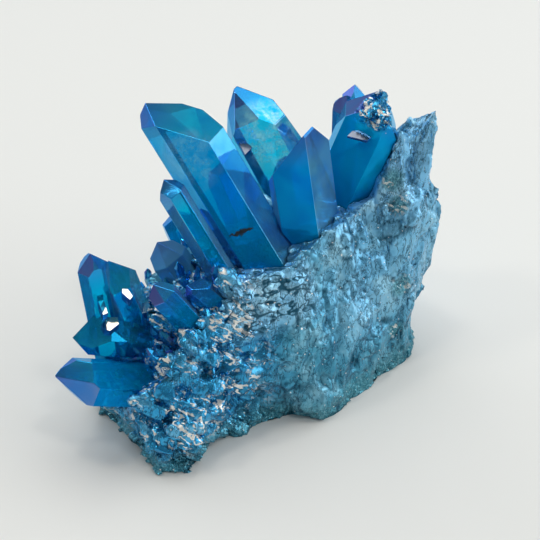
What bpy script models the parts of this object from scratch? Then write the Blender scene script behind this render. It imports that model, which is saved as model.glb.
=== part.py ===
# Aura quartz cluster: a loose piece of quartz rock with crystals standing on its sloping crown.
# Metres, +Z up. The long axis of the rock is X, and its broken front wall faces -Y.
# The sizes below are in millimetres and become metres where the meshes are made.

import math
from typing import NamedTuple

import bmesh
import bpy
from mathutils import Matrix, Vector, noise

MM = 0.001

# Quartz geometry
CAP_SLOPE = math.radians(38.2)      # a cap face leans in this far from its prism face
FACE_STEP = math.radians(60.0)      # prism faces follow each other at this angle
SHOW_SIDE = Vector((-0.46, -0.64, 0.62))    # the corner that the broad faces are counted from

# Fits
SEAT_GAP = 0.3                      # clearance between a crystal and its seat in the rock
BLANK_SIZE = 300.0                  # the block that crystals and cutters are cut from


class Section(NamedTuple):
    """One cut across the rock: y and z of its corners, from the front foot over to the back foot."""
    x: float
    front_foot: tuple
    front_belly: tuple
    rim: tuple
    crown: tuple
    back_rim: tuple
    back_belly: tuple
    back_foot: tuple


SECTIONS = (
    Section(-28.5, (-19, -2), (-16, 8), (-10, 15), (-2, 16), (7, 14), (10, 7), (8, -2)),
    Section(-23.0, (-22, -2), (-20, 11), (-14, 21), (-3, 19), (11, 17), (15, 9), (13, -2)),
    Section(-13.0, (-18, -2), (-18, 17), (-13, 33), (-1, 29), (14, 24), (20, 11), (16, -2)),
    Section(0.0, (-19, -2), (-19, 21), (-13, 38), (-1, 35), (16, 29), (23, 13), (18, -2)),
    Section(11.0, (-25, -2), (-23, 18), (-14, 38), (-1, 38), (17, 31), (24, 13), (19, -2)),
    Section(24.0, (-25, -2), (-22, 21), (-12, 41), (0, 39), (17, 33), (23, 13), (18, -2)),
    Section(37.0, (-23, -2), (-21, 23), (-11, 44), (1, 42), (16, 35), (21, 14), (16, -2)),
    Section(42.5, (-23, -2), (-20, 27), (-12, 60), (-5, 57), (12, 42), (18, 16), (13, -2)),
    Section(47.5, (-20, -2), (-18, 30), (-12, 57), (-6, 55), (8, 42), (13, 18), (9, -2)),
    Section(51.0, (-17, -2), (-17, 33), (-14, 63), (-8, 60), (3, 44), (8, 20), (5, -2)),
)


class Swell(NamedTuple):
    """A bulge or a hollow: everything within reach of the centre moves by the push, less with distance."""
    centre: tuple
    reach: float
    push: tuple


SWELLS = (
    Swell((50, -18, 37), 13, (2.5, 0, 0)),      # shoulder half way up the right end
    Swell((52, -12, 49), 9, (-4, 0, 0)),        # waist under the right peak
    Swell((50, -10, 8), 20, (-5, 2, 0)),        # the right end draws in towards the foot
    Swell((49, -14, 20), 9, (2, -0.5, 0)),      # low bulge of the right end
    Swell((47, -10, 62), 6, (0, 0, -3)),        # dip between the two peaks
    Swell((12, -26, 3), 9, (0, -3, 0)),         # knee at the lowest point of the front
    Swell((31, -24, 22), 16, (0, 2.5, 0)),      # the front wall is hollow beside the fold
    Swell((40, -24, 30), 7, (0, -1.5, 0)),      # the upright fold
    Swell((-20, -20, 12), 8, (-1, -2, 1)),
    Swell((-7, -20, 6), 9, (0, 2.5, 0)),
)

# Colours of the coating
CRYSTAL_COLOUR, CRYSTAL_ROUGHNESS = (0.02, 0.22, 0.55), 0.05
ROCK_COLOUR, ROCK_ROUGHNESS = (0.10, 0.33, 0.50), 0.3

# Broken surface of the rock
GRAIN_LEVELS = 4                    # how often each face of the blank is split in four
WAVE_SIZE, WAVE_HEIGHT = 11.0, 1.3
CHIP_SIZE, CHIP_HEIGHT = 5.5, 1.2
CHIP_TILT_LEFT, CHIP_TILT_RIGHT = 0.8, 0.4  # the left end is shattered, the right wall is smoother
CELL_SPREAD = 0.37                  # reads a different tilt for neighbouring cells
ROCK_SEED = 5                       # fixes the tilts, so that each run gives the same rock
ROCK_FACES = 5200


class Crystal(NamedTuple):
    """A quartz prism with a six-faced cap, placed by the ends of its axis."""
    tip: tuple
    foot: tuple
    across: tuple                   # face to face, for the three pairs of prism faces
    turn: float                     # degrees from the show side to the first prism face
    lifts: tuple                    # height on the axis where each cap face meets it, above the tip
    breaks: tuple = ()              # broken faces: the lean of each to the right and back, and its lift


PLAIN_CAP = (0, 0, 0, 0, 0, 0)

# One list for each piece: crystals that are grown into each other share one piece.
PIECES = {
    "long_leaning_crystal": [
        Crystal((-0.3, 14.2, 67.6), (11.6, -8.5, 29), (13.2, 13.2, 13.6), -6, (12, 0, 5, 5, 11, 9))],
    "cloudy_back_crystal": [
        Crystal((21.7, 21.1, 63.3), (30.3, 6.3, 33.6), (14, 15.3, 15.8), -15, (2, 0, 0.5, 1, 1, 2),
                breaks=((-2.2, 0, 7), (7, 0, 34)))],
    "dark_pointed_crystal": [
        Crystal((19.8, -3.8, 60.6), (22.5, -6.7, 33), (10.9, 9.2, 15.6), -5, (14, 10.8, 8.6, 5, 0, 12))],
    "broad_right_crystal": [
        Crystal((43.1, -5.8, 68.4), (33.8, 1, 35.3), (10, 14.3, 12.4), -20, (3.5, 3, -1.2, -1, 0.3, -1))],
    "slim_twin_crystals": [
        Crystal((40.8, 5.1, 63.2), (42.3, 6.6, 38), (6, 5.5, 5.5), 10, (0, -1, 0, -1, 0, -1)),
        Crystal((43.8, 5.8, 63.8), (45.5, 8, 38), (4.6, 4.6, 4.8), -10, (1, 0, 0, 1, 0, 0))],
    "slender_left_crystal": [
        Crystal((-8.2, 6.2, 57.6), (-1.5, -8.4, 34), (6, 5.5, 5.5), 10, (0, 0, 2, 0, 0, 2))],
    "blunt_left_crystal": [
        Crystal((-7, 13.5, 36), (-2, 6, 24), (8, 8, 8), 10, (0, 0, 3, 0, 3, 0))],
    "upper_left_bunch": [
        Crystal((-27.6, 5.5, 46.7), (-25.5, 6, 15), (5.5, 6, 6), 25, (1, 0, 0, 1, 0, 0)),
        Crystal((-23, 6.7, 42), (-18, 2.7, 17), (9, 8, 8), 10, (0, 4, 0, 4, 0, 4)),
        Crystal((-33.3, 4, 28.9), (-19, 1.3, 21.6), (9, 8.6, 8.5), 15, (0, 3, 0, 3, 3, 3))],
    "lowest_side_crystal": [
        Crystal((-41.4, -1.65, 22.9), (-22, -6.5, 14.8), (9, 9.5, 9.5), 25, (0, 3, 3, 2, 0, -1))],
    "navy_sloping_crystal": [
        Crystal((-10.8, -7, 39), (-5, -12.2, 31), (4.5, 5.5, 5), 0, (4, 0, 2, 0, 2, 2))],
    "violet_capped_crystal": [
        Crystal((-18.8, -4.8, 40.9), (-13, -10, 30.4), (5.6, 5.6, 5.6), 20, (0, 0, 3, 0, 3, 0))],
    "rear_middle_crystal": [
        Crystal((9, 32, 28), (5, 12, 22), (8, 9, 8), 40, (0, 0, 4, 0, 4, 0))],
    "rear_broad_crystal": [
        Crystal((25, 35, 36), (20, 11, 25), (10, 9, 10), 10, (0, 4, 0, 4, 0, 4))],
    "rear_right_crystal": [
        Crystal((43, 31, 34), (36, 12, 24), (8, 8, 9), 25, (0, 2, 0, 3, 0, 2))],
    "rear_low_crystal": [
        Crystal((16, 37, 15), (14, 16, 11), (7, 6, 7), 0, (0, 2, 0, 3, 0, 2))],
    "rear_left_crystal": [
        Crystal((-11, 30, 15), (-8, 12, 12), (7, 7, 6), 15, (0, 2, 0, 3, 0, 2))],
}

# Crystals that lean on another one leave a seat for it.
LEANS_ON = {
    "dark_pointed_crystal": ["long_leaning_crystal"],
    "broad_right_crystal": ["dark_pointed_crystal"],
    "cloudy_back_crystal": ["dark_pointed_crystal", "broad_right_crystal"],
    "slim_twin_crystals": ["broad_right_crystal", "cloudy_back_crystal"],
}

# Small crystals that are one with the rock
STUBS = (
    Crystal((-30, -11, 18), (-18, -14, 13), (4, 5, 4), 10, PLAIN_CAP),
    Crystal((-23, -11, 26), (-14, -15, 20), (4, 4, 5), 30, PLAIN_CAP),
    Crystal((-19, -3, 33), (-13, -7, 24), (5, 4, 5), 0, PLAIN_CAP),
    Crystal((-24, 2, 27), (-16, 0, 20), (4, 5, 4), 20, PLAIN_CAP),
    Crystal((-14, 6, 32), (-11, 2, 24), (4, 4, 4), 40, PLAIN_CAP),
    Crystal((-6, -11, 43), (-2, -13, 34), (3.5, 4, 3.5), 10, PLAIN_CAP),
    Crystal((16, 4, 46), (16.5, -1, 34), (5, 5, 4), 15, PLAIN_CAP),
    Crystal((18, 12, 42), (18, 6, 32), (5, 4, 5), 25, PLAIN_CAP),
    Crystal((-2, 22, 27), (-3, 13, 20), (5, 5, 6), 35, PLAIN_CAP),
    Crystal((28, 24, 22), (27, 16, 18), (6, 5, 6), 50, PLAIN_CAP),
    Crystal((-20, 20, 12), (-18, 11, 9), (5, 6, 5), 5, PLAIN_CAP),
    Crystal((44, 20, 33), (41, 10, 28), (5, 5, 5), 20, PLAIN_CAP),
    Crystal((2, 29, 11), (3, 18, 9), (6, 5, 5), 15, PLAIN_CAP),
)


def clear_scene():
    for item in list(bpy.data.objects):
        bpy.data.objects.remove(item, do_unlink=True)


def new_object(name, mesh):
    item = bpy.data.objects.new(name, mesh)
    bpy.context.scene.collection.objects.link(item)
    return item


def finish(name, colour, roughness, metallic):
    """The coated look of one piece, plain enough to read from a step away."""
    material = bpy.data.materials.new(name)
    material.use_nodes = True
    shader = material.node_tree.nodes["Principled BSDF"]
    shader.inputs["Base Color"].default_value = (*colour, 1.0)
    shader.inputs["Roughness"].default_value = roughness
    shader.inputs["Metallic"].default_value = metallic
    return material


def cut_away(bm, point, normal):
    """Cuts off what lies past a plane and closes the cut with one face."""
    geometry = bm.verts[:] + bm.edges[:] + bm.faces[:]
    cut = bmesh.ops.bisect_plane(bm, geom=geometry, plane_co=point, plane_no=normal, clear_outer=True)
    rim = [item for item in cut["geom_cut"] if isinstance(item, bmesh.types.BMEdge)]
    if rim:
        bmesh.ops.contextual_create(bm, geom=rim)


def crystal_mesh(name, form, grow=0.0):
    """A crystal; grow moves all its faces out by that much, to cut a seat for it."""
    tip = Vector(form.tip)
    foot = Vector(form.foot)
    axis = (tip - foot).normalized()
    front = (SHOW_SIDE - axis * SHOW_SIDE.dot(axis)).normalized()
    bm = bmesh.new()
    bmesh.ops.create_cube(bm, size=BLANK_SIZE)
    cut_away(bm, foot - axis * grow, -axis)
    for side in range(6):
        out = Matrix.Rotation(math.radians(form.turn) + side * FACE_STEP, 3, axis) @ front
        half = form.across[side % 3] / 2 + grow
        cut_away(bm, foot + out * half, out)
        cap = out * math.cos(CAP_SLOPE) + axis * math.sin(CAP_SLOPE)
        cut_away(bm, tip + axis * form.lifts[side] + cap * grow, cap)
    for lean_right, lean_back, lift in form.breaks:
        broken = (axis + axis.cross(front) * lean_right - front * lean_back).normalized()
        cut_away(bm, tip + axis * lift + broken * grow, broken)
    bmesh.ops.recalc_face_normals(bm, faces=bm.faces)
    bmesh.ops.scale(bm, vec=(MM, MM, MM), verts=bm.verts)
    mesh = bpy.data.meshes.new(name)
    bm.to_mesh(mesh)
    bm.free()
    return mesh


def rock_blank():
    """The rough form of the rock: its sections joined by a skin."""
    bm = bmesh.new()
    rings = []
    for section in SECTIONS:
        ring = [bm.verts.new((section.x * MM, y * MM, z * MM)) for y, z in section[1:]]
        rings.append(ring)
    for ring, after in zip(rings, rings[1:]):
        for corner in range(len(ring)):
            other = (corner + 1) % len(ring)
            bm.faces.new((ring[corner], ring[other], after[other], after[corner]))
    bm.faces.new(rings[0])
    bm.faces.new(rings[-1])
    bmesh.ops.recalc_face_normals(bm, faces=bm.faces)
    mesh = bpy.data.meshes.new("rock_blank")
    bm.to_mesh(mesh)
    bm.free()
    blank = new_object("rock_blank", mesh)
    split = blank.modifiers.new("grain", "SUBSURF")
    split.subdivision_type = "SIMPLE"
    split.levels = GRAIN_LEVELS
    split.render_levels = GRAIN_LEVELS
    return blank


def evaluated_mesh(item, name):
    """A plain mesh of an object with its modifiers applied; the object is removed."""
    depsgraph = bpy.context.evaluated_depsgraph_get()
    mesh = bpy.data.meshes.new_from_object(item.evaluated_get(depsgraph))
    mesh.name = name
    bpy.data.objects.remove(item, do_unlink=True)
    return mesh


def chip_height(point):
    """Height of a broken facet: each cell of the rock has its own tilt."""
    cell = noise.voronoi(point / CHIP_SIZE)[1][0] * CHIP_SIZE
    steepness = CHIP_TILT_LEFT if cell.x < 0 else CHIP_TILT_RIGHT
    tilt = noise.noise_vector(cell * CELL_SPREAD) * steepness
    height = (point - cell).dot(tilt)
    return max(-CHIP_HEIGHT, min(CHIP_HEIGHT, height))


def break_surface(mesh):
    """Moves the points of the rock: the named swells first, then waves and broken facets."""
    noise.seed_set(ROCK_SEED)
    normals = [vertex.normal.copy() for vertex in mesh.vertices]
    for vertex, normal in zip(mesh.vertices, normals):
        point = vertex.co / MM
        moved = point.copy()
        for swell in SWELLS:
            near = 1 - (point - Vector(swell.centre)).length / swell.reach
            if near > 0:
                moved += Vector(swell.push) * near * near * (3 - 2 * near)
        wave = noise.noise(point / WAVE_SIZE) * WAVE_HEIGHT
        moved += normal * (wave + chip_height(point))
        vertex.co = moved * MM


def cutter(name, mesh):
    item = new_object(name, mesh)
    item.display_type = "WIRE"
    item.hide_render = True
    return item


def boolean(item, operation, other):
    modifier = item.modifiers.new(other.name, "BOOLEAN")
    modifier.operation = operation
    modifier.solver = "EXACT"
    modifier.object = other


def flatten_foot(mesh):
    """Cuts the rock off at height zero, so that it rests on one flat face."""
    bm = bmesh.new()
    bm.from_mesh(mesh)
    cut_away(bm, (0, 0, 0), (0, 0, -1))
    bm.to_mesh(mesh)
    bm.free()


def make_rock():
    blank = evaluated_mesh(rock_blank(), "broken_blank")
    break_surface(blank)
    broken = new_object("broken_blank", blank)
    thin = broken.modifiers.new("thin", "DECIMATE")
    thin.ratio = ROCK_FACES / (2 * len(blank.polygons))
    mesh = evaluated_mesh(broken, "matrix")
    flatten_foot(mesh)
    mesh.materials.append(finish("matrix", ROCK_COLOUR, ROCK_ROUGHNESS, 1.0))
    rock = new_object("matrix", mesh)
    for number, form in enumerate(STUBS):
        boolean(rock, "UNION", cutter(f"stub_{number}", crystal_mesh("stub", form)))
    return rock


def make_seats():
    """For each crystal piece the cutters of its seat: its own crystals, larger by the gap."""
    return {name: [cutter(f"{name}_seat_{number}", crystal_mesh("seat", form, SEAT_GAP))
                   for number, form in enumerate(forms)]
            for name, forms in PIECES.items()}


def make_crystals(rock):
    """Each crystal piece, with its seat in the rock and in the crystals that lean on it."""
    pieces = []
    seats = make_seats()
    for name, forms in PIECES.items():
        first, *others = forms
        piece = new_object(name, crystal_mesh(name, first))
        piece.data.materials.append(finish(name, CRYSTAL_COLOUR, CRYSTAL_ROUGHNESS, 0.0))
        pieces.append(piece)
        for number, form in enumerate(others):
            boolean(piece, "UNION", cutter(f"{name}_part_{number}", crystal_mesh(name, form)))
        for support in LEANS_ON.get(name, ()):
            for seat in seats[support]:
                boolean(piece, "DIFFERENCE", seat)
        for seat in seats[name]:
            boolean(rock, "DIFFERENCE", seat)
    return pieces


def stand_on_middle(items):
    """Moves every piece so that the middle of the underside is the origin."""
    bpy.context.view_layer.update()
    depsgraph = bpy.context.evaluated_depsgraph_get()
    corners = [item.matrix_world @ Vector(corner)
               for item in items for corner in item.evaluated_get(depsgraph).bound_box]
    low = Vector(min(corner[axis] for corner in corners) for axis in range(3))
    high = Vector(max(corner[axis] for corner in corners) for axis in range(3))
    shift = Vector(((low.x + high.x) / 2, (low.y + high.y) / 2, low.z))
    for item in bpy.data.objects:
        item.location -= shift
    return shift


def main():
    clear_scene()
    rock = make_rock()
    crystals = make_crystals(rock)
    shift = stand_on_middle([rock, *crystals])
    print("moved by, in mm:", [round(value / MM, 2) for value in -shift])


main()
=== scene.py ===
# %% [markdown]
# # Aura quartz cluster
#
# A loose mineral piece: clear quartz points on a broken quartz rock. Both were coated in a
# vacuum with a film of metal a few hundred atoms thick. The film is what makes it blue: on the
# clear points it tints the light that goes through, and on the rough rock it shines like foil.
#
# The frame below holds the piece at its real size. This lesson leaves its places and sizes alone
# and gives it the fine surface that the solids don't have.

# %% Load the frame
import math

import bpy
import numpy as np
from mathutils import Matrix, Vector, noise


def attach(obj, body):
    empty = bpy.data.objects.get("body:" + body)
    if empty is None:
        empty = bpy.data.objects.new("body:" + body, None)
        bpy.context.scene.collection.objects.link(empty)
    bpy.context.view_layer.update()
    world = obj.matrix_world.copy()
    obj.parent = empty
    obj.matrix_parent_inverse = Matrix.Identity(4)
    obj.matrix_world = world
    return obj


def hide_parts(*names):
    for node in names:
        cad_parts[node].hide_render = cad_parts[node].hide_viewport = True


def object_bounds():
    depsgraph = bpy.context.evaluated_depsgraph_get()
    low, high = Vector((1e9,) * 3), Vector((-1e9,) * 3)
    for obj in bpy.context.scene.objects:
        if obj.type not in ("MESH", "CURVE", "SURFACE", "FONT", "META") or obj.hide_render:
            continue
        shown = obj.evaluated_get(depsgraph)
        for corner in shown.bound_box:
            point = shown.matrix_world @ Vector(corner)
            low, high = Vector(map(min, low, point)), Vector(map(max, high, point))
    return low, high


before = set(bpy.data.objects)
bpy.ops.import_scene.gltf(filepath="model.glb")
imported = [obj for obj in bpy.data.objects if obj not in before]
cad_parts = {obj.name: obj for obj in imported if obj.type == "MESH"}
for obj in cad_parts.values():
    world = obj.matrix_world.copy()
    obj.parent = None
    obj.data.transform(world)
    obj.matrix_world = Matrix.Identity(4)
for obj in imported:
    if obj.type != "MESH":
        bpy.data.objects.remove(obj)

MM = 0.001
CAD_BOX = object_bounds()
CRYSTAL_NODES = sorted(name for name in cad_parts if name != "matrix")


def in_mm(place):
    """A place or a size in millimetres, rounded for printing."""
    return [round(value / MM, 1) for value in place]


print("frame", in_mm(CAD_BOX[1] - CAD_BOX[0]), "mm,", len(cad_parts), "nodes")

# %% [markdown]
# ## Small tools
#
# An operator works on everything that is selected, and loading the frame leaves its pieces
# selected. So each step starts by choosing one object. A working copy of a frame piece is merged
# first, because its triangles come loose. Points are read and written as whole tables, one row
# for each point, and a value that a material will need is stored with the mesh.

# %% Choose and copy
LOOSE_GAP = 0.01 * MM


def choose(piece):
    """Selects one object and nothing else."""
    bpy.ops.object.select_all(action="DESELECT")
    piece.select_set(True)
    bpy.context.view_layer.objects.active = piece


def in_edit_mode(piece, *steps):
    """Runs each step on all of the piece's mesh."""
    choose(piece)
    bpy.ops.object.mode_set(mode="EDIT")
    for step in steps:
        bpy.ops.mesh.select_all(action="SELECT")
        step()
    bpy.ops.object.mode_set(mode="OBJECT")


def start_from(node, name):
    """A working copy of a frame piece, with its loose triangles joined into one skin."""
    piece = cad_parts[node].copy()
    piece.data = piece.data.copy()
    piece.data.name = name
    piece.name = name
    piece.parent = None
    for key in list(piece.keys()):
        del piece[key]
    bpy.context.scene.collection.objects.link(piece)
    piece.data.materials.clear()
    in_edit_mode(piece, lambda: bpy.ops.mesh.remove_doubles(threshold=LOOSE_GAP))
    return piece


def hand_over(piece, material, slot, *nodes):
    """Dresses a finished piece, lets it ride on the body and hides the nodes it stands for."""
    piece.data.materials.clear()
    piece.data.materials.append(material)
    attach(piece, "root")
    if nodes:
        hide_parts(*nodes)
    print(piece.name, len(piece.data.polygons), "faces")


def read_rows(mesh, field):
    flat = np.empty(len(mesh.vertices) * 3)
    mesh.vertices.foreach_get(field, flat)
    return flat.reshape(-1, 3)


def points_of(mesh):
    return read_rows(mesh, "co")


def normals_of(mesh):
    return read_rows(mesh, "normal")


def set_points(mesh, points):
    mesh.vertices.foreach_set("co", points.ravel())
    mesh.update()


def store_values(mesh, name, domain, values):
    """Keeps a value for each point or face, under a name that a material can read."""
    store = mesh.attributes.new(name, "FLOAT", domain)
    store.data.foreach_set("value", np.asarray(values, dtype=np.float32))


# %% [markdown]
# ## Camera
#
# The photograph looks down on the piece from the front left. A camera is placed by the point it
# stands at and by the direction that it looks back from. The same numbers tell which way a place
# in the picture lies, so a detail can be put where the photograph shows it.

# %% Camera
VIEW_AZIMUTH, VIEW_ELEVATION = math.radians(-36), math.radians(38)
CAMERA_PLACE = Vector((-114.1, -175.02, 190.3)) * MM
LENS_LENGTH, SENSOR_WIDTH = 75, 36
PICTURE_SIZE = 540
FOCAL_PIXELS = PICTURE_SIZE * LENS_LENGTH / SENSOR_WIDTH
BACK = Vector((
    math.sin(VIEW_AZIMUTH) * math.cos(VIEW_ELEVATION),
    -math.cos(VIEW_AZIMUTH) * math.cos(VIEW_ELEVATION),
    math.sin(VIEW_ELEVATION)))
PICTURE_RIGHT = Vector((math.cos(VIEW_AZIMUTH), math.sin(VIEW_AZIMUTH), 0))
PICTURE_UP = BACK.cross(PICTURE_RIGHT)

lens = bpy.data.cameras.new("camera")
lens.lens = LENS_LENGTH
lens.sensor_width = SENSOR_WIDTH
lens.clip_start = 0.01
lens.clip_end = 20
camera = bpy.data.objects.new("camera", lens)
camera.location = CAMERA_PLACE
camera.rotation_euler = (-BACK).to_track_quat("-Z", "Y").to_euler()
bpy.context.scene.collection.objects.link(camera)
bpy.context.scene.camera = camera


def way_to(x, y):
    """The direction from the camera to a place in the picture, counted from its top left corner."""
    middle = PICTURE_SIZE / 2
    sight = PICTURE_RIGHT * (x - middle) + PICTURE_UP * (middle - y) - BACK * FOCAL_PIXELS
    return sight.normalized()


camera_distance = (CAMERA_PLACE - (CAD_BOX[0] + CAD_BOX[1]) / 2).length
print("camera", round(camera_distance, 3), "m from the middle")

# %% [markdown]
# ## Floor
#
# The piece lies on plain pale paper. One wide flat sheet is enough. It is dull, so no lamp shows
# in it, and all that it takes from the piece is a soft shadow.

# %% Floor
FLOOR_SIZE = 8.0
FLOOR_COLOUR = (0.80, 0.81, 0.795)
PAPER_ROUGHNESS, PAPER_SHINE = 0.7, 0.2


def principled(name):
    """A new material with its main shader."""
    material = bpy.data.materials.new(name)
    material.use_nodes = True
    shader = material.node_tree.nodes["Principled BSDF"]
    return material, shader


bpy.ops.object.select_all(action="DESELECT")
bpy.ops.mesh.primitive_plane_add(size=FLOOR_SIZE)
floor = bpy.context.object
floor.name = "floor"
paper, paper_shader = principled("floor_paper")
paper_shader.inputs["Base Color"].default_value = (*FLOOR_COLOUR, 1)
paper_shader.inputs["Roughness"].default_value = PAPER_ROUGHNESS
paper_shader.inputs["Specular IOR Level"].default_value = PAPER_SHINE
floor.data.materials.append(paper)
print("floor", FLOOR_SIZE, "m")

# %% [markdown]
# ## Light
#
# A mirror-like film shows what stands around it. In the photograph the faces that look at the
# camera are deep blue because the room there is dim, and the faces turned to the right are pale
# because a bright window stands there. So the studio has wide soft lamps above, to the right and
# to the left, a dim room around them, and three small warm bulbs for the glints.

# %% Lamps
MIDDLE = Vector((0, 0, 30 * MM))
COOL_WHITE = (0.97, 0.99, 1.0)
WARM_WHITE = (1.0, 0.93, 0.82)
BULB_DISTANCE = 0.7
BULB_SIZE = (0.08, 0.08)
ROOM_COLOUR = (0.93, 0.97, 1.0, 1)
ROOM_STRENGTH = 0.26


def lamp(name, direction, distance, size, power, colour=(1, 1, 1)):
    """A soft rectangle that faces the middle of the piece."""
    light = bpy.data.lights.new(name, "AREA")
    light.shape = "RECTANGLE"
    light.size, light.size_y = size
    light.energy = power
    light.color = colour
    holder = bpy.data.objects.new(name, light)
    away = Vector(direction).normalized()
    holder.location = MIDDLE + away * distance
    holder.rotation_euler = away.to_track_quat("Z", "Y").to_euler()
    bpy.context.scene.collection.objects.link(holder)


def seen_from_camera(right, up, back):
    """A direction as the camera sees it: to the right, upwards, and away from the camera."""
    level_back = Vector((-BACK.x, -BACK.y, 0)).normalized()
    return PICTURE_RIGHT * right + Vector((0, 0, up)) + level_back * back


CEILING_FROM = seen_from_camera(0.1, 1.0, 0.45)
lamp("ceiling", CEILING_FROM, 0.9, (0.9, 0.7), 4.2, (0.99, 1.0, 1.0))
lamp("window_right", seen_from_camera(1.0, 0.35, 0.1), 0.8, (0.9, 0.6), 3.0)
lamp("window_left", seen_from_camera(-1.0, 0.4, 0.75), 1.0, (0.6, 0.7), 2.0, COOL_WHITE)
lamp("bulb_high", seen_from_camera(-0.15, 1.0, 0.02), BULB_DISTANCE, BULB_SIZE, 0.5, WARM_WHITE)
lamp("bulb_left", seen_from_camera(-0.75, 1.0, -0.1), BULB_DISTANCE, BULB_SIZE, 0.45, WARM_WHITE)
lamp("bulb_right", seen_from_camera(0.35, 1.0, -0.35), BULB_DISTANCE, (0.07, 0.07), 0.4, (1.0, 0.94, 0.85))

world = bpy.data.worlds.new("room")
world.use_nodes = True
room = world.node_tree.nodes["Background"]
room.inputs["Color"].default_value = ROOM_COLOUR
room.inputs["Strength"].default_value = ROOM_STRENGTH
bpy.context.scene.world = world
bpy.context.scene.view_settings.view_transform = "Standard"
print("lamps", len(bpy.data.lights))

# %% [markdown]
# ## Shader tools
#
# A finish is a net of nodes. These helpers add one node or a small group that comes back often: a
# noise in the piece's own space, a step between two values, a ramp of colours, a mix of two.

# %% Shader tools


def add(material, kind, place, **values):
    """A shader node with its settings; names with a capital letter are input sockets."""
    node = material.node_tree.nodes.new(kind)
    node.location = place
    for name, value in values.items():
        socket = name.replace("_", " ")
        if socket in node.inputs:
            node.inputs[socket].default_value = value
        else:
            setattr(node, name, value)
    return node


def wire(material, source, target):
    material.node_tree.links.new(source, target)


def stored(material, name, place):
    """The value that the piece's mesh keeps under a name."""
    return add(material, "ShaderNodeAttribute", place, attribute_name=name).outputs["Fac"]


def object_noise(material, coords, place, **values):
    """Cloudy values from 0 to 1 that stay with the piece."""
    texture = add(material, "ShaderNodeTexNoise", place, **values)
    wire(material, coords.outputs["Object"], texture.inputs["Vector"])
    return texture.outputs["Fac"]


def between(material, value, low, high, place, start=0.0, end=1.0):
    """The start up to the low value, the end from the high one, and a slope in between."""
    step = add(material, "ShaderNodeMapRange", place, From_Min=low, From_Max=high)
    step.inputs["To Min"].default_value = start
    step.inputs["To Max"].default_value = end
    wire(material, value, step.inputs["Value"])
    return step.outputs["Result"]


def math_node(material, operation, first, second, place):
    """Each of the two may be a socket or a plain number."""
    node = add(material, "ShaderNodeMath", place, operation=operation)
    for socket, value in zip(node.inputs, (first, second)):
        if isinstance(value, (int, float)):
            socket.default_value = value
        else:
            wire(material, value, socket)
    return node.outputs["Value"]


def ramp_colour(material, value, stops, place):
    """A colour for each value, blended between the stops."""
    ramp = add(material, "ShaderNodeValToRGB", place)
    elements = ramp.color_ramp.elements
    elements[0].position, elements[0].color = stops[0]
    elements[1].position, elements[1].color = stops[-1]
    for position, colour in stops[1:-1]:
        elements.new(position).color = colour
    wire(material, value, ramp.inputs["Fac"])
    return ramp.outputs["Color"]


def mix_colour(material, place, factor, first, second):
    """Blends two colours; each may be a socket or a plain colour."""
    mix = add(material, "ShaderNodeMix", place, data_type="RGBA")
    wire(material, factor, mix.inputs[0])
    for socket, colour in ((mix.inputs[6], first), (mix.inputs[7], second)):
        if isinstance(colour, tuple):
            socket.default_value = colour
        else:
            wire(material, colour, socket)
    return mix.outputs[2]


def fine_relief(material, height, strength, depth, place, **values):
    """Relief too fine to model: dents and ridges that only turn the light."""
    bump = add(material, "ShaderNodeBump", place, Strength=strength, Distance=depth, **values)
    wire(material, height, bump.inputs["Height"])
    return bump


# %% [markdown]
# ## Colour of the clear crystals
#
# A value stored with each face picks its colour from a ramp. It holds the film's tint and painted
# reflection: caps that lean left are violet, other caps are painted bright, sides turned to the
# right or left are painted pale, and faces turned to the front keep the deep blue. Towards the tip
# it turns violet, and a soft noise makes darker depths. Two crystals are milky inside: tiny bubbles
# make a pale veil that lets less light through. The veil is a ball of values around a centre,
# broken up by wisps.

# %% Colour of the clear crystals
DEPTH_SHARES = (0.4, 0.52, 0.76, 1)
FRONT_BLUE = (0.000, 0.50, 1.00, 1)
# Stops at 0.50 and 0.72 are painted highlight on caps and painted pale reflection on sides.
FILM_AND_REFLECTION_COLOURS = (
    (0.30, (0.004, 0.58, 1.00, 1)),
    (0.50, (0.040, 0.78, 1.00, 1)),
    (0.72, (0.200, 0.56, 0.80, 1)),
    (1.00, (0.190, 0.23, 0.58, 1)),
)
TIP_VIOLET = (0.14, 0.12, 0.55, 1)
TIP_REACH = 8 * MM
MILK = (0.60, 0.97, 1.0, 1)
MILKY_TRANSMISSION = 0.45


def crystal_colour(material, coords, film, below_tip, front):
    """The film's colour on each face, with violet at the tip and darker depths."""
    colour = ramp_colour(material, film, ((0.0, front), *FILM_AND_REFLECTION_COLOURS), (-1100, 400))
    near_tip = between(material, below_tip, 0.0, TIP_REACH, (-1100, 150), 0.65, 0.0)
    colour = mix_colour(material, (-700, 300), near_tip, colour, TIP_VIOLET)
    depths = object_noise(material, coords, (-1100, -600), Scale=95.0, Detail=2.0, Distortion=0.4)
    deeper = between(material, depths, 0.42, 0.68, (-900, -600), 0.0, 0.6)
    depth_blue = tuple(part * share for part, share in zip(front, DEPTH_SHARES))
    return mix_colour(material, (-600, 300), deeper, colour, depth_blue)


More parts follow.
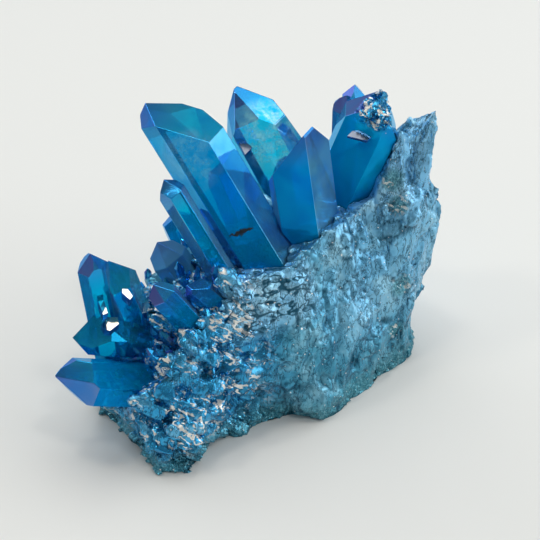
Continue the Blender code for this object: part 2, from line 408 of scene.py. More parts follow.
def milky_cloud(material, coords, colour, transmission, centre, reach, strength):
    """The colour and the transmission with a veil inside; its centre and reach are in millimetres."""
    ball_space = add(material, "ShaderNodeMapping", (-1100, 1100), vector_type="POINT")
    ball_space.inputs["Location"].default_value = [-value / reach for value in centre]
    ball_space.inputs["Scale"].default_value = (1 / (reach * MM),) * 3
    wire(material, coords.outputs["Object"], ball_space.inputs["Vector"])
    ball = add(material, "ShaderNodeTexGradient", (-900, 1100), gradient_type="SPHERICAL")
    wire(material, ball_space.outputs["Vector"], ball.inputs["Vector"])
    dense = between(material, ball.outputs["Fac"], 0.0, 0.45, (-700, 1100), 0.0, strength)
    wisps = object_noise(
        material, coords, (-900, 900), Scale=300.0, Detail=9.0, Roughness=0.75, Distortion=0.2)
    thick = between(material, wisps, 0.42, 0.60, (-700, 900))
    veil = math_node(material, "MULTIPLY", thick, dense, (-500, 1000))
    clearness = between(material, veil, 0.0, 1.0, (-300, 1000), transmission, MILKY_TRANSMISSION)
    return mix_colour(material, (-500, 300), veil, colour, MILK), clearness


# %% [markdown]
# ## Finish of the clear crystals
#
# Light passes through these crystals and loses its red on the way, so the body is an absorbing
# glass with the refraction of quartz. The film on top is thinner than a wave of light. It sends
# back blue when seen straight on and violet when seen at a slant, which is what the shader's thin
# film values do. Growth lines run around a crystal, so they follow a value that is stored at each
# point: how far it lies below the tip.

# %% Finish of the clear crystals
QUARTZ_IOR = 1.54
FILM_IOR = 1.9
FILM_NANOMETRES = 172
FILM_TINT = (0.05, 0.60, 1.0, 1)
ABSORPTION_TINT = (0.01, 0.62, 0.90, 1)
VEILED = 0.5


def growth_lines(material, below_tip):
    """Fine ridges across the crystal: a noise that changes only along it."""
    along = add(material, "ShaderNodeCombineXYZ", (-900, -400))
    wire(material, below_tip, along.inputs["X"])
    ridges = add(material, "ShaderNodeTexNoise", (-700, -400), Scale=1900.0, Detail=3.0)
    wire(material, along.outputs["Vector"], ridges.inputs["Vector"])
    return fine_relief(material, ridges.outputs["Fac"], 0.10, 0.05 * MM, (-300, -400))


def clear_crystal(name, density, transmission, front=FRONT_BLUE, cloud=None):
    """Coated quartz. The density is that of its absorption; a cloud has a centre, reach and strength."""
    material, shader = principled(name)
    shader.inputs["Specular Tint"].default_value = FILM_TINT
    shader.inputs["IOR"].default_value = QUARTZ_IOR
    shader.inputs["Thin Film IOR"].default_value = FILM_IOR
    shader.inputs["Thin Film Thickness"].default_value = FILM_NANOMETRES

    coords = add(material, "ShaderNodeTexCoord", (-1400, 0))
    film = stored(material, "film", (-1400, 400))
    below_tip = stored(material, "below_tip", (-1400, -300))
    colour = crystal_colour(material, coords, film, below_tip, front)
    if cloud:
        colour, clearness = milky_cloud(material, coords, colour, transmission, *cloud)
    else:
        # The faces with painted pale reflection are also less clear.
        veiled = transmission * VEILED
        clearness = between(material, film, 0.5, 0.72, (-1100, 900), transmission, veiled)
    wire(material, colour, shader.inputs["Base Color"])
    wire(material, clearness, shader.inputs["Transmission Weight"])

    # Metal rises with the face's value, so the painted bright caps and pale sides are more metal.
    shine = between(material, film, 0.1, 0.72, (-1100, 700), 0.06, 0.45)
    wire(material, shine, shader.inputs["Metallic"])
    smudges = object_noise(material, coords, (-900, -100), Scale=220.0, Detail=4.0)
    dull = between(material, smudges, 0.4, 0.8, (-600, -100), 0.01, 0.12)
    wire(material, dull, shader.inputs["Roughness"])
    ridges = growth_lines(material, below_tip)
    wire(material, ridges.outputs["Normal"], shader.inputs["Normal"])

    absorb = add(material, "ShaderNodeVolumeAbsorption", (-300, -700), Density=density)
    absorb.inputs["Color"].default_value = ABSORPTION_TINT
    output = material.node_tree.nodes["Material Output"]
    wire(material, absorb.outputs["Volume"], output.inputs["Volume"])
    return material


BROAD_BLUE = (0.000, 0.60, 1.00, 1)
BRIGHT_BLUE = (0.000, 0.64, 1.00, 1)
GREY_BLUE = (0.20, 0.50, 0.62, 1)
DEEP = clear_crystal("deep_crystal", 45, 0.72)
SOLID = clear_crystal("solid_blue_crystal", 30, 0.56)
BROAD = clear_crystal("broad_blue_crystal", 22, 0.48, BROAD_BLUE)
BRIGHT = clear_crystal("bright_crystal", 10, 0.80, BRIGHT_BLUE)
GREYISH = clear_crystal("greyish_crystal", 4, 0.42, GREY_BLUE)
print("clear crystal:", len(DEEP.node_tree.nodes), "nodes")

# %% [markdown]
# ## Streaks and cracks of the rock
#
# The rock broke along certain ways: its splinters run down to the right, its layers rise gently
# to the right, and its front wall stands upright. A noise that is drawn out along such a way
# makes streaks. The line where a noise crosses its middle value is thin and wanders like a crack.

# %% Streaks and cracks of the rock
STREAKS = {
    "shattered": (PICTURE_RIGHT * 0.85 + Vector((0, 0, -0.5))).normalized(),
    "layered": (PICTURE_RIGHT * 0.92 + Vector((0, 0, 0.30))).normalized(),
    "wall": Vector((0.15, 0, 1)).normalized(),
}


def streaky_noise(material, coords, way, stretch, place, **values):
    """A noise that is drawn out along a direction."""
    turned = add(material, "ShaderNodeMapping", place, vector_type="TEXTURE")
    turned.inputs["Rotation"].default_value = way.to_track_quat("X", "Z").to_euler()
    turned.inputs["Scale"].default_value = (stretch, 1, 1)
    wire(material, coords.outputs["Object"], turned.inputs["Vector"])
    texture = add(material, "ShaderNodeTexNoise", (place[0] + 200, place[1]), **values)
    wire(material, turned.outputs["Vector"], texture.inputs["Vector"])
    return texture.outputs["Fac"]


def thin_lines(material, value, width, place):
    """1 along the line where a noise crosses its middle value, 0 away from it."""
    off = math_node(material, "SUBTRACT", value, 0.5, place)
    far = math_node(material, "ABSOLUTE", off, 0, (place[0] + 150, place[1]))
    return between(material, far, width, width * 0.3, (place[0] + 300, place[1]))


def layer_gaps(material, coords, layered):
    """Gaps between the layers, where dark shade is painted, only where the rock is layered."""
    gaps = streaky_noise(
        material, coords, STREAKS["layered"], 9.0, (-1600, -1300),
        Scale=620.0, Detail=1.5, Roughness=0.4)
    gaps = thin_lines(material, gaps, 0.075, (-1300, -1300))
    return math_node(material, "MULTIPLY", gaps, layered, (-800, -1300))


def wall_cracks(material, coords):
    """Fine cracks all over, mostly upright, where dark shade is painted."""
    cracks = streaky_noise(
        material, coords, STREAKS["wall"], 3.0, (-1600, -1600),
        Scale=600.0, Detail=7.0, Roughness=0.65, Distortion=0.8)
    cracks = thin_lines(material, cracks, 0.026, (-1100, -1600))
    return math_node(material, "MULTIPLY", cracks, 0.9, (-600, -1600))


print("streaks:", *STREAKS)

# %% [markdown]
# ## Gravel and glints of the rock
#
# The foot is worn to fine gravel, pale and dark. Where the rock is shattered, cream flakes are
# painted in as glints of the warm light. They lie in loose groups, so the flakes are multiplied by
# a broader noise; a few tiny painted sparks lie everywhere.

# %% Gravel and glints of the rock
FOOT_PALE = (0.15, 0.46, 0.55, 1)
FOOT_DARK = (0.01, 0.16, 0.22, 1)


def foot_gravel(material, coords):
    """The colour of fine gravel, speckled pale and dark."""
    gravel = object_noise(material, coords, (-1400, -1900), Scale=2600.0, Detail=3.0)
    gravel = between(material, gravel, 0.42, 0.58, (-1200, -1900))
    return mix_colour(material, (-900, -1900), gravel, FOOT_DARK, FOOT_PALE)


def painted_glints(material, coords, glint_share):
    """1 on a painted glint, a flake or a spark, 0 beside it."""
    glint_mask = streaky_noise(
        material, coords, STREAKS["shattered"], 2.4, (-1600, -2200),
        Scale=600.0, Detail=2.0, Distortion=1.5)
    glint_mask = between(material, glint_mask, 0.56, 0.585, (-1000, -2200))
    groups = object_noise(material, coords, (-1400, -2500), Scale=170.0, Detail=2.0)
    groups = between(material, groups, 0.43, 0.50, (-1000, -2500))
    glint_mask = math_node(material, "MULTIPLY", glint_mask, groups, (-800, -2300))
    glint_mask = math_node(material, "MULTIPLY", glint_mask, glint_share, (-600, -2300))
    sparks = object_noise(material, coords, (-1400, -2800), Scale=1500.0, Detail=1.0)
    sparks = between(material, sparks, 0.735, 0.77, (-1000, -2800))
    return math_node(material, "MAXIMUM", glint_mask, sparks, (-400, -2500))


print("foot colours:", FOOT_DARK[:3], FOOT_PALE[:3])

# %% [markdown]
# ## Finish of the rock
#
# The rock is the same quartz in a mass of tiny broken grains, so the film lies on it like foil
# on gravel. A shader that is mostly metal takes the colour of the film, and patches of noise
# shift it between deep and pale blue. Values stored at each point say where the rock is
# shattered, layered, pale, worn or cracked, and each of them brings in its own colours or lines.
# The pale part is painted reflection, lighter on the right and towards the crest, the dark lines
# in the cracks and gaps are painted shade, and the cream flakes are painted glints.

# %% Finish of the rock
MIDDLE_STOPS = (
    (0.30, (0.01, 0.18, 0.34, 1)),
    (0.50, (0.07, 0.36, 0.54, 1)),
    (0.70, (0.26, 0.58, 0.74, 1)),
)
SHATTERED_STOPS = (
    (0.32, (0.00, 0.18, 0.46, 1)),
    (0.52, (0.03, 0.38, 0.72, 1)),
    (0.74, (0.24, 0.64, 0.90, 1)),
)
# Painted reflection: the pale film where the right side and the crest face the bright lamps.
PAINTED_PALE_STOPS = (
    (0.25, (0.13, 0.48, 0.80, 1)),
    (0.50, (0.26, 0.64, 0.96, 1)),
    (0.75, (0.46, 0.82, 1.00, 1)),
)
# Painted shade: the dark colour of cracks and of the gaps between layers.
CRACK_SHADE = (0.004, 0.09, 0.16, 1)
# Painted highlight: the cream of glints from the warm lamps.
GLINT_CREAM = (1.0, 0.98, 0.92, 1)
ZONE_NAMES = ("shattered", "layered", "pale", "foot", "crack", "glint_share")


def rock_colour(material, coords, patches, zones, layers, cracks, glint_mask):
    """The film's patches, then what lies over them, from the widest to the finest."""
    middle, shattered, pale = (
        ramp_colour(material, patches, stops, (-1300, 600 - 250 * number))
        for number, stops in enumerate((MIDDLE_STOPS, SHATTERED_STOPS, PAINTED_PALE_STOPS)))
    colour = mix_colour(material, (-900, 500), zones["shattered"], middle, shattered)
    colour = mix_colour(material, (-700, 450), zones["pale"], colour, pale)
    # Painted shade: dark in the layer gaps, the fine cracks and the sunk cracks.
    colour = mix_colour(material, (-600, 450), layers, colour, CRACK_SHADE)
    colour = mix_colour(material, (-500, 450), cracks, colour, CRACK_SHADE)
    colour = mix_colour(material, (-400, 400), zones["foot"], colour, foot_gravel(material, coords))
    colour = mix_colour(material, (-300, 350), zones["crack"], colour, CRACK_SHADE)
    return mix_colour(material, (-200, 300), glint_mask, colour, GLINT_CREAM)


def rock_relief(material, coords, layers, cracks):
    """Grains, with the dark lines sunk between them."""
    dips = math_node(material, "ADD", cracks, layers, (-900, -700))
    sunk = fine_relief(material, dips, 0.5, 0.10 * MM, (-700, -700), invert=True)
    grain = add(material, "ShaderNodeTexVoronoi", (-1200, -400), Scale=1800.0)
    wire(material, coords.outputs["Object"], grain.inputs["Vector"])
    grains = fine_relief(material, grain.outputs["Distance"], 0.15, 0.08 * MM, (-600, -400))
    wire(material, sunk.outputs["Normal"], grains.inputs["Normal"])
    return grains


def coated_rock():
    """The film on the rock: its colour, how much of it is metal, its roughness and its relief."""
    material, shader = principled("coated_rock")
    shader.inputs["Coat Weight"].default_value = 0.3
    shader.inputs["Coat Roughness"].default_value = 0.05
    coords = add(material, "ShaderNodeTexCoord", (-1900, 0))
    zones = {
        name: stored(material, name, (-1600, -300 - 180 * number))
        for number, name in enumerate(ZONE_NAMES)}

    patches = object_noise(material, coords, (-1600, 200), Scale=120.0, Detail=6.0, Roughness=0.65)
    layers = layer_gaps(material, coords, zones["layered"])
    cracks = wall_cracks(material, coords)
    glint_mask = painted_glints(material, coords, zones["glint_share"])
    colour = rock_colour(material, coords, patches, zones, layers, cracks, glint_mask)
    wire(material, colour, shader.inputs["Base Color"])

    # Less metal on the painted glints and the painted pale reflection, so the lamps light them.
    paler = math_node(material, "MULTIPLY", zones["pale"], 0.5, (-500, 0))
    less_metal = math_node(material, "MAXIMUM", glint_mask, paler, (-350, 0))
    metal = between(material, less_metal, 0.0, 1.0, (-200, 0), 0.85, 0.40)
    wire(material, metal, shader.inputs["Metallic"])
    dull = between(material, patches, 0.35, 0.7, (-900, -100), 0.14, 0.38)
    whole = math_node(material, "SUBTRACT", 1.0, zones["shattered"], (-900, -250))
    duller = math_node(material, "MULTIPLY", whole, 0.12, (-700, -250))
    roughness = math_node(material, "ADD", dull, duller, (-500, -100))
    wire(material, roughness, shader.inputs["Roughness"])
    grains = rock_relief(material, coords, layers, cracks)
    wire(material, grains.outputs["Normal"], shader.inputs["Normal"])
    return material


ROCK = coated_rock()
print("coated rock:", len(ROCK.node_tree.nodes), "nodes")

# %% [markdown]
# ## The rock's skin
#
# The frame's rock has faces of a few millimetres. Its long edges are split again and again until
# hardly any is longer than a grain. The grains are fine where the photograph looks, and coarser
# on the back and the underside.

# %% Split the rock's skin into grains
GRAIN_EDGE = 0.76 * MM
HIDDEN_GRAIN_EDGE = 1.50 * MM
BACK_STARTS = 4 * MM
UNDERSIDE_ENDS = 0.1 * MM
SPLIT_ROUNDS = 5


def split_long_edges(piece, longest, rounds):
    """Halves the edges that are longer than a limit, which is a function of their middle points."""
    choose(piece)
    for _ in range(rounds):
        mesh = piece.data
        ends = np.empty(len(mesh.edges) * 2, dtype=int)
        mesh.edges.foreach_get("vertices", ends)
        points = points_of(mesh)[ends.reshape(-1, 2)]
        lengths = np.linalg.norm(points[:, 0] - points[:, 1], axis=1)
        limits = longest(points.mean(axis=1))
        bpy.ops.object.mode_set(mode="EDIT")
        bpy.ops.mesh.select_mode(type="EDGE")
        bpy.ops.mesh.select_all(action="DESELECT")
        bpy.ops.object.mode_set(mode="OBJECT")
        mesh.edges.foreach_set("select", lengths > limits)
        bpy.ops.object.mode_set(mode="EDIT")
        bpy.ops.mesh.subdivide(number_cuts=1)
        bpy.ops.mesh.select_all(action="SELECT")
        bpy.ops.mesh.quads_convert_to_tris()
        bpy.ops.object.mode_set(mode="OBJECT")


def fine_in_front(points):
    """Grains are fine on the broken front, and coarser on the back and the underside."""
    coarse = (points[:, 1] > BACK_STARTS) | (points[:, 2] < UNDERSIDE_ENDS)
    return np.where(coarse, HIDDEN_GRAIN_EDGE, GRAIN_EDGE)


rock = start_from("matrix", "rock")
split_long_edges(rock, fine_in_front, SPLIT_ROUNDS)
print("rock", len(rock.data.polygons), "triangles")

# %% [markdown]
# ## Breaks, chips and cracks
#
# Each point of the skin is moved: shell-shaped breaks first, small chips next. Both come from
# cells, each with a slope of its own, which leaves sharp ridges where two cells meet, as in broken
# glass. Cells that are drawn out along a streak make splinters and layers. A few pits are chipped
# deeper, and cracks run between large cells. All sizes and places in this step are in millimetres.

# %% Break the surface
ROCK_SEED = 5
STREAK_SQUEEZE = 0.33
# For each kind of surface: the size of its broken facets, how steep they are, and how high.
BREAKS = {"shattered": (2.8, 2.0, 0.9), "layered": (3.0, 0.45, 0.4), "wall": (4.5, 0.5, 0.4)}
ROUGH_FINENESS, ROUGH_HEIGHT = 1.4, 0.06
CHIP_SIZE, CHIP_LIMIT = 1.3, 0.3
GRAVEL_SIZE, GRAVEL_LIMIT = 0.7, 0.18
CRACK_CELL, CRACK_DIP = 4.0, 0.3
# Each pit has a middle and a reach.
PITS = (
    ((34.6, -17.7, 48.6), 3.6),
    ((35.0, -20.0, 43.0), 3.2),
    ((33.5, -24.5, 22.8), 3.8),
    ((31.5, -26.2, 10.9), 3.0),
)
SMOOTH_BELOW = math.radians(38)
PLAIN = Matrix.Identity(3)


def ease(value, start, end):
    """0 before the start, 1 after the end, smooth between."""
    part = np.clip((value - start) / (end - start), 0, 1)
    return part * part * (3 - 2 * part)


def shard(point, stretch, size, steepness, limit):
    """Height of a broken facet; the stretch draws its cell out into a long shard."""
    place = stretch @ point / size
    cell = noise.voronoi(place)[1][0]
    slope = noise.noise_vector(cell * 2.03) * steepness
    return max(-limit, min(limit, (place - cell).dot(slope) * size))


def crack_depth(point, size):
    """1 on the line between two cells, 0 away from it."""
    bent = point + noise.noise_vector(point / 3) * 1.6
    near, second = noise.voronoi(bent / size)[0][:2]
    rare = max(0.0, min(1.0, noise.noise(point / 6) * 4))
    return max(0.0, 1 - (second - near) / 0.12) * rare


def rock_zones(points):
    """How far each point belongs to each kind of surface, from 0 to 1; places in millimetres."""
    x, y, z = points.T
    zones = {
        "shattered": ease(x, 4, -14) * ease(y, 12, 2),
        "layered": ease(np.abs(x + 1), 15, 7) * ease(np.abs(z - 33), 9, 4) * ease(y, -4, -9),
        "foot": ease(z, 8, 1) * 0.8,
        # Painted reflection: paler on the right and towards the crest.
        "pale": ease(x, 4, 22) * ease(z, 8, 22) * (0.58 + 0.42 * ease(z, 36, 48)),
        "pit": np.zeros(len(points)),
        # Where cream glints are painted.
        "glint_share": ease(x, -2, -12) * ease(y, 6, -2) * ease(z, 2, 7),
    }
    for middle, reach in PITS:
        away = np.linalg.norm(points - middle, axis=1)
        zones["pit"] = np.maximum(zones["pit"], ease(away, reach, reach * 0.4))
    zones["foot"] = np.maximum(zones["foot"], zones["pit"] * 0.8)
    # The layered part gets the painted pale colour as well.
    zones["pale"] = np.maximum(zones["pale"], zones["layered"] * 0.9)
    return zones


def break_height(point, shares, foot, pit, stretches):
    """How far a point is raised; shares say how much it has of each kind of break."""
    height = noise.noise(point * ROUGH_FINENESS) * ROUGH_HEIGHT
    for name, share in shares.items():
        if share > 0:
            height += share * shard(point, stretches[name], *BREAKS[name])
    height += shard(point, PLAIN, CHIP_SIZE, 0.22 + 1.1 * pit, CHIP_LIMIT)
    if foot > 0 or pit > 0:
        height += shard(point, PLAIN, GRAVEL_SIZE, 1.2 * max(foot, pit), GRAVEL_LIMIT)
    return height


def break_up(piece):
    """Moves every point of the rock's skin, and keeps what kind of surface it lies on."""
    noise.seed_set(ROCK_SEED)
    points = points_of(piece.data) / MM
    normals = normals_of(piece.data)
    zones = rock_zones(points)
    stretches = {name: Matrix.Scale(STREAK_SQUEEZE, 3, way) for name, way in STREAKS.items()}
    moved = points.copy()
    zones["crack"] = np.zeros(len(points))
    for index, (place, normal) in enumerate(zip(points, normals)):
        shattered, layered, foot, pit = (
            zones[name][index] for name in ("shattered", "layered", "foot", "pit"))
        wall = max(0.0, 1 - shattered - layered)
        shares = {"shattered": shattered, "layered": layered, "wall": wall}
        height = break_height(Vector(place), shares, foot, pit, stretches)
        crack = crack_depth(Vector(place), CRACK_CELL)
        moved[index] = place + normal * (height - CRACK_DIP * crack)
        zones["crack"][index] = crack
    on_floor = points[:, 2] < 0.01
    moved[on_floor] = points[on_floor]
    moved[:, 2] = np.maximum(moved[:, 2], 0)
    set_points(piece.data, moved * MM)
    # Pits get painted glints too.
    zones["glint_share"] = np.maximum(zones["glint_share"], zones["pit"] * 0.7)
    for name in ZONE_NAMES:
        store_values(piece.data, name, "POINT", zones[name])


break_up(rock)
choose(rock)
bpy.ops.object.shade_smooth_by_angle(angle=SMOOTH_BELOW)
hand_over(rock, ROCK, "coated_rock", "matrix")

# %% [markdown]
# ## The crystals
#
# A crystal's faces are flat, so its copy only has its triangles joined back into whole faces.
# Real edges are never knife sharp: a narrow bevel catches a line of light along each of them.
# Each whole face gets its value before the bevel: its film, and the painted highlight or painted
# reflection that its slope calls for.

# %% Crystal pieces
EDGE_WEAR = 0.16 * MM
FLAT_WITHIN = math.radians(1)
# Face values; the bright caps and the pale sides are painted highlight and painted reflection.
VIOLET_CAP, PAINTED_BRIGHT_CAP, PAINTED_PALE_SIDE, DEEP_FRONT = 0.95, 0.45, 0.70, 0.10
FILM_SHIFT, FILM_PATCH = 0.08, 7 * MM


def growth_direction(mesh):
    """A crystal grows along its longest edge, away from the floor."""
    points = points_of(mesh)
    edges = [points[edge.vertices[0]] - points[edge.vertices[1]] for edge in mesh.edges]
    direction = Vector(max(edges, key=np.linalg.norm)).normalized()
    return direction if direction.z > 0 else -direction


def store_height(mesh, axis):
    """Keeps at each point how far it lies below the tip, along the crystal."""
    heights = points_of(mesh) @ np.array(axis)
    store_values(mesh, "below_tip", "POINT", heights.max() - heights)


def store_films(mesh, axis):
    """Caps that lean left are violet, other caps get a painted highlight; prism faces are deep blue in
    front and get a painted pale reflection at the sides. A little noise shifts each face."""
    films = []
    for face in mesh.polygons:
        right = face.normal.dot(PICTURE_RIGHT)
        if face.normal.dot(axis) > 0.25:
            film = VIOLET_CAP if right < -0.2 else PAINTED_BRIGHT_CAP
        else:
            film = PAINTED_PALE_SIDE if abs(right) > 0.55 else DEEP_FRONT
        films.append(film + FILM_SHIFT * noise.noise(face.center / FILM_PATCH))
    store_values(mesh, "film", "FACE", films)


def crystal(node, material):
    """A frame crystal with whole faces, a film on each, and worn edges."""
    piece = start_from(node, node + "_facets")
    in_edit_mode(piece, lambda: bpy.ops.mesh.dissolve_limited(angle_limit=FLAT_WITHIN))
    axis = growth_direction(piece.data)
    store_films(piece.data, axis)
    in_edit_mode(
        piece,
        lambda: bpy.ops.mesh.bevel(offset=EDGE_WEAR, segments=2, affect="EDGES", clamp_overlap=True),
        lambda: bpy.ops.mesh.normals_make_consistent(inside=False))
    store_height(piece.data, axis)
    choose(piece)
    bpy.ops.object.shade_flat()
    hand_over(piece, material, "coated_crystal", node)
    return piece


FINISHES = {
    "slim_twin_crystals": BRIGHT,
    "upper_left_bunch": BRIGHT,
    "slender_left_crystal": BRIGHT,
    "blunt_left_crystal": GREYISH,
    "dark_pointed_crystal": SOLID,
    "broad_right_crystal": BROAD,
}
facets = {node: crystal(node, FINISHES.get(node, DEEP)) for node in CRYSTAL_NODES}

# The blunt crystal has one even film.
blunt_film = facets["blunt_left_crystal"].data.attributes["film"].data
blunt_film.foreach_set("value", np.full(len(blunt_film), DEEP_FRONT, dtype=np.float32))
print("crystals", len(facets))

# %% [markdown]
# ## Places seen in the picture
#
# Some details have to sit where the photograph shows them. A line of sight goes out from the
# camera through a place in the picture, and where it first meets a piece is the place on it. The
# first two places found this way are those of the milky veils, in the cloudy and the long crystal.

# %% Places seen in the picture
CLOUD_AT = (268, 134)
CLOUD_INSIDE = 2 * MM
CLOUD_BLUE = (0.02, 0.78, 1.0, 1)
HAZE_AT = (190, 160)


def seen_point(x, y, *pieces):
    """Where the line of sight through a picture place first meets a piece, and the slope there."""
    bpy.context.view_layer.update()
    depsgraph = bpy.context.evaluated_depsgraph_get()
    hits = []
    for piece in pieces or (*facets.values(), rock):
        hit, place, slope, _ = piece.evaluated_get(depsgraph).ray_cast(CAMERA_PLACE, way_to(x, y))
        if hit:
            hits.append(((place - CAMERA_PLACE).length, place, slope))
    distance, place, slope = min(hits, key=lambda entry: entry[0])
    print("at", (x, y), "seen", round(distance, 4), "m away")
    return place, slope


cloudy = facets["cloudy_back_crystal"]
cloud_place, _ = seen_point(*CLOUD_AT, cloudy)
cloud_centre = (cloud_place + way_to(*CLOUD_AT) * CLOUD_INSIDE) / MM
CLOUDY = clear_crystal("cloudy_crystal", 8, 0.80, CLOUD_BLUE, (cloud_centre, 9.0, 1.0))
cloudy.data.materials[0] = CLOUDY

long_one = facets["long_leaning_crystal"]
haze_place, _ = seen_point(*HAZE_AT, long_one)
LONG = clear_crystal("long_crystal", 42, 0.68, FRONT_BLUE, (haze_place / MM, 8.0, 0.35))
long_one.data.materials[0] = LONG
print("cloud at", in_mm(cloud_centre * MM), "mm")

# %% [markdown]
# ## Broken end
#
# The broad crystal's end is broken: instead of smooth cap faces it has a crumpled patch with
# painted glints. The faces around that place are split into grains, and the grains are chipped.

# %% Crumple the end of the broad crystal
BROKEN_AT = (378, 104)
BROKEN_REACH = 6.4 * MM
BROKEN_GRAIN = 0.4 * MM
BROKEN_ROUNDS = 7
BROKEN_GLINT_SHARE = 2.5
# Size, steepness and height of the broken facets and of the chips on them, in millimetres.
BROKEN_FACETS, BROKEN_CHIPS = (2.1, 1.9, 0.9), (0.7, 1.2, 0.3)
BROKEN_SUNK = 0.35
RAGGED_SIZE, RAGGED_REACH = 1.5 * MM, 2.5 * MM


def crumple(piece, place):
    """Splits and chips the faces near a place and gives them the rock's finish, with painted glints."""
    def distance(points):
        return np.linalg.norm(points - np.array(place), axis=1)

    def near_is_fine(points):
        return np.maximum(BROKEN_GRAIN, (distance(points) - BROKEN_REACH) * 0.8)

    in_edit_mode(piece, bpy.ops.mesh.quads_convert_to_tris)
    split_long_edges(piece, near_is_fine, BROKEN_ROUNDS)
    points = points_of(piece.data)
    normals = normals_of(piece.data)
    share = ease(distance(points), BROKEN_REACH, BROKEN_REACH * 0.75)
    for index in np.flatnonzero(share > 0):
        point = Vector(points[index]) / MM
        chipped = shard(point, PLAIN, *BROKEN_FACETS) + shard(point, PLAIN, *BROKEN_CHIPS)
        points[index] += normals[index] * (chipped - BROKEN_SUNK) * share[index] * MM
    set_points(piece.data, points)
    # A strong share of painted glints on the broken end.
    for name, strength in (("shattered", 1.0), ("glint_share", BROKEN_GLINT_SHARE)):
        store_values(piece.data, name, "POINT", np.full(len(points), strength))
    piece.data.materials.append(ROCK)
    for face in piece.data.polygons:
        ragged = noise.noise(face.center / RAGGED_SIZE) * RAGGED_REACH
        if (face.center - place).length + ragged < BROKEN_REACH * 0.85:
            face.material_index = 1


broad = facets["broad_right_crystal"]
broken_place, _ = seen_point(*BROKEN_AT, broad)
crumple(broad, broken_place)
print("broken end at", in_mm(broken_place), "mm,", len(broad.data.polygons), "faces")

# %% [markdown]
# ## Mirror faces
#
# Here and there the flat end of a small crystal lies so that it mirrors the bright ceiling, and
# reads as a white or cream patch. The slope of such a face is half way between the way to the
# light and the way to the camera. Each stub starts as a flat disc at the place where the picture
# shows its end, and is extruded back into the crystal that it grows on.

# %% Mirror faces
CEILING_WAY = CEILING_FROM.normalized()
STUB, CHIP = 2.4 * MM, 0.7 * MM
STANDS_OUT = 0.9 * MM
STUB_WEAR = 0.06 * MM


def metal_film(name, colour, roughness):
    """A mirror of metal with faint darker stains."""
    material, shader = principled(name)
    shader.inputs["Metallic"].default_value = 1.0
    shader.inputs["Roughness"].default_value = roughness
    coords = add(material, "ShaderNodeTexCoord", (-900, 0))
    stains = object_noise(material, coords, (-700, 0), Scale=700.0, Detail=4.0)
    dimmer = tuple(value * 0.7 for value in colour[:3]) + (1,)
    stained = mix_colour(material, (-400, 0), stains, colour, dimmer)
    wire(material, stained, shader.inputs["Base Color"])
    return material


SILVER = metal_film("silver_face", (0.95, 0.95, 0.93, 1), 0.06)
CREAM = metal_film("cream_face", (0.95, 0.88, 0.72, 1), 0.08)
GREY = metal_film("grey_face", (0.20, 0.22, 0.27, 1), 0.20)


def mirror_face(name, corners, material, depth):
    """A stub whose flat end fills the given corners in the picture and mirrors the ceiling lamp."""
    x, y = (sum(values) / len(corners) for values in zip(*corners))
    place, _ = seen_point(x, y)
    place = place - way_to(x, y) * min(STANDS_OUT, depth * 0.6)
    slope = (CEILING_WAY - way_to(x, y)).normalized()
    bpy.ops.object.select_all(action="DESELECT")
    bpy.ops.mesh.primitive_circle_add(vertices=len(corners), radius=MM, fill_type="NGON")
    stub = bpy.context.object
    stub.name = name
    sights = [way_to(*corner) for corner in corners]
    reach = [(place - CAMERA_PLACE).dot(slope) / sight.dot(slope) for sight in sights]
    set_points(stub.data, np.array([CAMERA_PLACE + sight * far for sight, far in zip(sights, reach)]))
    back = tuple(slope * -depth)
    in_edit_mode(
        stub,
        lambda: bpy.ops.mesh.extrude_region_move(TRANSFORM_OT_translate={"value": back}),
        lambda: bpy.ops.mesh.bevel(offset=STUB_WEAR, segments=1, affect="EDGES"),
        lambda: bpy.ops.mesh.normals_make_consistent(inside=False))
    hand_over(stub, BRIGHT, "coated_crystal")
    stub.data.materials.append(material)
    for face in stub.data.polygons:
        if face.normal.dot(slope) > 0.99:
            face.material_index = 1


MIRROR_FACES = (
    ("tall_mirror", ((95, 293), (101, 291), (108, 313), (103, 315)), SILVER, STUB),
    ("upper_mirror", ((122, 286), (126, 286), (133, 296), (130, 300), (122, 293)), SILVER, STUB),
    ("right_mirror", ((138, 304), (148, 301), (153, 311), (142, 314)), SILVER, STUB),
    (
        "cream_mirror",
        ((101, 325), (108, 317), (118, 317), (119, 324), (110, 331), (104, 329)), CREAM, STUB,
    ),
    ("grey_mirror", ((236, 138), (241, 137), (252, 147), (251, 149), (245, 155)), GREY, CHIP),
    ("broad_mirror", ((347, 136), (352, 131), (372, 128), (375, 134), (367, 141)), GREY, CHIP),
)
for name, corners, material, depth in MIRROR_FACES:
    mirror_face(name, corners, material, depth)

# %% [markdown]
# ## The black flake
#
# A jagged dark flake reaches the front face of the long crystal. It starts as a fine grid, which
# is laid along the face, narrowed towards its ends and torn at its rim.

# %% Black flake
FLAKE_FROM, FLAKE_TO = (229, 236), (253, 228)
FLAKE_WIDTH = 1.3 * MM
FLAKE_BEND = 0.9 * MM
FLAKE_LIFT = 0.10 * MM
FLAKE_THICKNESS = 0.12 * MM
MINERAL_BLACK = (0.004, 0.012, 0.02, 1)
SPECK_PALE = (0.6, 0.75, 0.8, 1)


def dark_mineral():
    """Nearly black, with pale specks where cells have their middles."""
    material, shader = principled("dark_mineral")
    shader.inputs["Roughness"].default_value = 0.45
    coords = add(material, "ShaderNodeTexCoord", (-900, 0))
    specks = add(material, "ShaderNodeTexVoronoi", (-700, 0), Scale=2600.0)
    wire(material, coords.outputs["Object"], specks.inputs["Vector"])
    bright = between(material, specks.outputs["Distance"], 0.12, 0.05, (-500, 0))
    colour = mix_colour(material, (-300, 0), bright, MINERAL_BLACK, SPECK_PALE)
    wire(material, colour, shader.inputs["Base Color"])
    return material


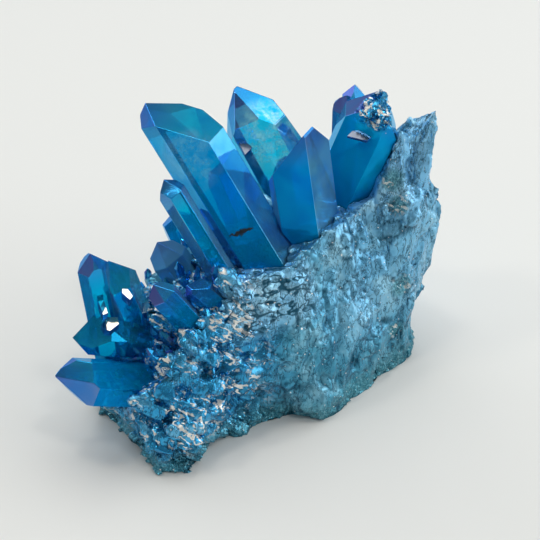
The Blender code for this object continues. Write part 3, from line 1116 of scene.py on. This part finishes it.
def torn_flake():
    """The flake between two places in the picture, a little above the crystal's face."""
    start, slope = seen_point(*FLAKE_FROM, long_one)
    end, _ = seen_point(*FLAKE_TO, long_one)
    along = end - start
    across = slope.cross(along).normalized()
    bpy.ops.object.select_all(action="DESELECT")
    bpy.ops.mesh.primitive_grid_add(x_subdivisions=40, y_subdivisions=8, size=1)
    flake = bpy.context.object
    flake.name = "black_flake"
    points = points_of(flake.data)
    placed = np.empty_like(points)
    for index, (u, v, _) in enumerate(points):
        torn = 0.12 + abs(noise.noise(Vector((u * 13, 4 * v, 0))))
        width = FLAKE_WIDTH * (1 - abs(2 * u) ** 3) * torn
        bend = FLAKE_BEND * noise.noise(Vector((u * 6, 7, 0)))
        lift = FLAKE_LIFT * (1 + noise.noise(Vector((u * 20, v * 6, 2))))
        placed[index] = start + along * (u + 0.5) + across * (v * 2 * width + bend) + slope * lift
    set_points(flake.data, placed)
    choose(flake)
    thick = flake.modifiers.new("thick", "SOLIDIFY")
    thick.thickness = FLAKE_THICKNESS
    bpy.ops.object.modifier_apply(modifier="thick")
    in_edit_mode(flake, lambda: bpy.ops.mesh.normals_make_consistent(inside=False))
    hand_over(flake, dark_mineral(), "coated_rock")


torn_flake()

# %% [markdown]
# ## Small crystals
#
# The crown and the left slope carry many small crystals. One is modelled: a six-sided column with
# its end face drawn out to a point. Its copies are turned, stretched and sunk into the rock.

# %% Small crystals
SMALL_COUNT = 70
SMALL_SEED = 11
SMALL_CLEARANCE = 0.7 * MM
SMALL_SUNK = 0.7
SMALL_BELOW_TIP = 4 * MM


def model_small_crystal():
    """A crystal 1 wide; its foot is at the origin and its tip about 2 above."""
    bpy.ops.object.select_all(action="DESELECT")
    bpy.ops.mesh.primitive_cylinder_add(vertices=6, radius=0.5, depth=1.5, location=(0, 0, 0.75))
    small = bpy.context.object
    bpy.ops.object.transform_apply(location=True, rotation=True, scale=True)
    bpy.ops.object.mode_set(mode="EDIT")
    bpy.ops.mesh.select_mode(type="FACE")
    bpy.ops.mesh.select_all(action="DESELECT")
    bpy.ops.object.mode_set(mode="OBJECT")
    for face in small.data.polygons:
        face.select = face.normal.z > 0.9
    bpy.ops.object.mode_set(mode="EDIT")
    bpy.ops.mesh.extrude_region_move(TRANSFORM_OT_translate={"value": (0, 0, 0.55)})
    bpy.ops.transform.resize(value=(0.12, 0.30, 1))
    bpy.ops.object.mode_set(mode="OBJECT")
    return small


def small_places():
    """Places on the crown and the left slope, away from the large crystals."""
    points = points_of(rock.data)
    normals = normals_of(rock.data)
    x, y, z = points.T / MM
    good = (normals[:, 2] > 0.1) & (z > 12) & (x < -4) & (y > -16) & (y < 16)
    generator = np.random.default_rng(SMALL_SEED)
    candidates = generator.permutation(np.flatnonzero(good))
    chosen = []
    for index in candidates:
        place = Vector(points[index])
        nearest = min((piece.closest_point_on_mesh(place)[1] - place).length for piece in facets.values())
        if nearest > SMALL_CLEARANCE:
            chosen.append((place, Vector(normals[index])))
        if len(chosen) == SMALL_COUNT:
            break
    return chosen, generator


def plant(small, place, slope, generator):
    """A copy of the small crystal with its own mesh, standing at a place."""
    copy = small.copy()
    copy.data = small.data.copy()
    bpy.context.scene.collection.objects.link(copy)
    way = slope * 0.5 + Vector(generator.normal(0, 0.35, 3)) + Vector((-0.25, 0, 0.6))
    width = generator.uniform(0.9, 2.6) * MM
    length = width * generator.uniform(0.8, 1.5)
    spin = Matrix.Rotation(generator.uniform(0, 1), 3, "Z")
    turn = way.normalized().to_track_quat("Z", "Y").to_matrix() @ spin
    shape = turn @ Matrix.Diagonal((width, width * generator.uniform(0.7, 1), length))
    points = points_of(copy.data) - (0, 0, SMALL_SUNK)
    set_points(copy.data, points @ np.array(shape).T + np.array(place))
    return copy


small = model_small_crystal()
places, generator = small_places()
copies = [plant(small, place, slope, generator) for place, slope in places]
bpy.data.objects.remove(small, do_unlink=True)
bpy.ops.object.select_all(action="DESELECT")
for copy in copies:
    copy.select_set(True)
bpy.context.view_layer.objects.active = copies[0]
bpy.ops.object.join()
druse = bpy.context.object
druse.name = "small_crystals"
# The small crystals get the same face values, painted highlight and reflection included.
store_films(druse.data, Vector((0, 0, 1)))
small_depths = np.full(len(druse.data.vertices), SMALL_BELOW_TIP)
store_values(druse.data, "below_tip", "POINT", small_depths)
hand_over(druse, BRIGHT, "coated_crystal")
